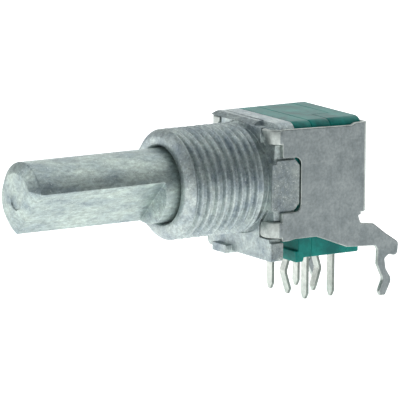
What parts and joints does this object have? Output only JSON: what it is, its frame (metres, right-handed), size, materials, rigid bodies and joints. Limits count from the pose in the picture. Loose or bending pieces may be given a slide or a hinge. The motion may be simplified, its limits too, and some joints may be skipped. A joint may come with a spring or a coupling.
{
  "type": "rotary encoder",
  "caption": "Panel-mount rotary encoder: D-cut shaft in a threaded bushing, push switch, boxy resin body in a steel bracket, solder pins below.",
  "frame": {"origin": "where the shaft axis meets the mounting face of the front plate", "axes": "the shaft points along -Y, the body lies along +Y, the pins point along -Z, X runs across the body"},
  "size_m": [0.0094, 0.0334, 0.0148],
  "materials": {
    "zinc_casting": "die-cast zinc, matt grain",
    "plated_sheet": "nickel-plated steel sheet, satin",
    "teal_resin": "moulded teal resin, satin",
    "tin_plated_pin": "tin-plated brass strip, semi-bright",
    "spring_steel": "rolled spring steel",
    "rotor_resin": "natural acetal resin",
    "contact_bronze": "phosphor bronze, bright rolled",
    "plunger_resin": "black acetal resin"
  },
  "bodies": {
    "body": {"housing": "zinc_casting", "thrust_washer": "spring_steel", "detent_spring": "spring_steel", "encoder_case": "teal_resin", "terminal_case": "teal_resin", "rear_cover": "teal_resin", "switch_dome": "spring_steel", "frame_bracket": "plated_sheet", "terminal_a": "tin_plated_pin", "terminal_c": "tin_plated_pin", "terminal_b": "tin_plated_pin", "switch_terminal_d": "tin_plated_pin", "snap_leg": "tin_plated_pin", "switch_terminal_e": "tin_plated_pin", "wiper_a": "contact_bronze", "wiper_common": "contact_bronze", "wiper_b": "contact_bronze"},
    "rotor": {"rotor": "rotor_resin", "code_disc": "contact_bronze"},
    "shaft": {"shaft": "zinc_casting", "retaining_ring": "spring_steel"},
    "plunger": {"plunger": "plunger_resin"}
  },
  "joints": [
    {"name": "rotor_turn", "type": "hinge", "parent": "body", "child": "rotor", "pos_m": [0, 0, 0], "axis": [0, -1, 0], "continuous": true},
    {"name": "shaft_push", "type": "slide", "parent": "rotor", "child": "shaft", "axis": [0, 1, 0], "range_m": [0, 0.0005], "stiffness_N_per_m": 4000, "springref_m": -0.0005, "deforming": ["switch_dome"]},
    {"name": "plunger_push", "type": "slide", "parent": "body", "child": "plunger", "axis": [0, 1, 0], "range_m": [0, 0.0005]}
  ],
  "couplings": [
    {"joint": "plunger_push", "follows": "shaft_push", "ratio": 1}
  ]
}
